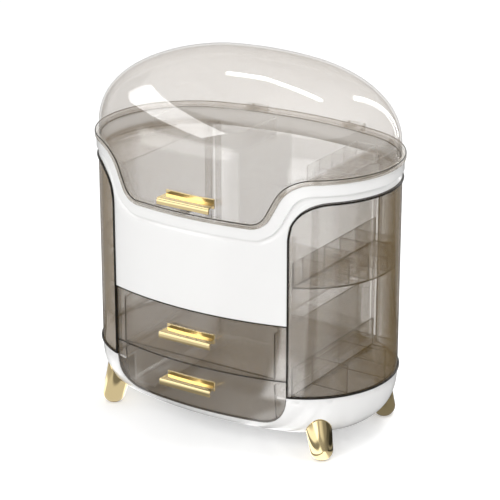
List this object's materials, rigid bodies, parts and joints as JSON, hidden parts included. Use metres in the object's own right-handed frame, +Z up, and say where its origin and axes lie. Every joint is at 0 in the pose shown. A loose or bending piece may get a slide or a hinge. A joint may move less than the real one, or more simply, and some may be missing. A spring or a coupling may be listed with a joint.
{
  "type": "cosmetic organizer box",
  "caption": "Oval cosmetic organizer with a flip-up clear dome, swinging side wings with trays, front drawers, white panels, gold pulls and splayed feet.",
  "frame": {"origin": "on the surface that it stands on, under the middle of the oval plan", "axes": "+Z up, the front with the drawers faces -Y, +X to the right seen from the front"},
  "size_m": [0.3422, 0.2352, 0.394],
  "materials": {
    "white_plastic": "moulded white plastic, gloss",
    "smoky_plastic": "clear smoky grey-brown plastic, polished",
    "clear_plastic": "clear plastic, polished",
    "gold_metal": "gold plated, mirror bright",
    "steel": "plain zinc-plated steel"
  },
  "bodies": {
    "cabinet": {"base_bowl": "white_plastic", "base_deck_left": "white_plastic", "base_deck_right": "white_plastic", "foot_front_left": "gold_metal", "foot_front_right": "gold_metal", "foot_rear_left": "gold_metal", "foot_rear_right": "gold_metal", "foot_screws": "steel", "side_wall_left": "smoky_plastic", "side_wall_right": "smoky_plastic", "back_panel": "smoky_plastic", "drawer_shelf": "smoky_plastic", "compartment_floor": "smoky_plastic", "front_frame": "white_plastic", "top_deck_left": "smoky_plastic", "top_deck_right": "smoky_plastic", "compartment_divider": "clear_plastic", "lift_out_tray": "clear_plastic", "lipstick_rack": "clear_plastic", "lid_hinge_pins": "steel", "wing_hinge_pins": "steel", "drawer_guide_left": "white_plastic", "drawer_guide_right": "white_plastic"},
    "lid": {"dome_lid": "smoky_plastic", "lid_pull": "gold_metal", "lid_pull_screws": "steel"},
    "left_wing": {"left_wing_shell": "smoky_plastic", "left_wing_floor": "smoky_plastic", "left_wing_low_shelf": "smoky_plastic", "left_wing_middle_shelf": "smoky_plastic", "left_wing_high_shelf": "smoky_plastic"},
    "right_wing": {"right_wing_shell": "smoky_plastic", "right_wing_floor": "smoky_plastic", "right_wing_shelf": "smoky_plastic"},
    "upper_drawer": {"upper_drawer": "smoky_plastic", "upper_drawer_pull": "gold_metal", "upper_drawer_pull_screws": "steel"},
    "lower_drawer": {"lower_drawer": "smoky_plastic", "lower_drawer_pull": "gold_metal", "lower_drawer_pull_screws": "steel"}
  },
  "joints": [
    {"name": "lid_hinge", "type": "hinge", "parent": "cabinet", "child": "lid", "pos_m": [0, 0.112, 0.297], "axis": [-1, 0, 0], "range_deg": [0, 100]},
    {"name": "left_wing_hinge", "type": "hinge", "parent": "cabinet", "child": "left_wing", "pos_m": [-0.1062, 0.085, 0.17], "axis": [0, 0, -1], "range_deg": [0, 110]},
    {"name": "right_wing_hinge", "type": "hinge", "parent": "cabinet", "child": "right_wing", "pos_m": [0.1062, 0.085, 0.17], "axis": [0, 0, 1], "range_deg": [0, 110]},
    {"name": "upper_drawer_slide", "type": "slide", "parent": "cabinet", "child": "upper_drawer", "axis": [0, -1, 0], "range_m": [0, 0.15]},
    {"name": "lower_drawer_slide", "type": "slide", "parent": "cabinet", "child": "lower_drawer", "axis": [0, -1, 0], "range_m": [0, 0.15]}
  ]
}
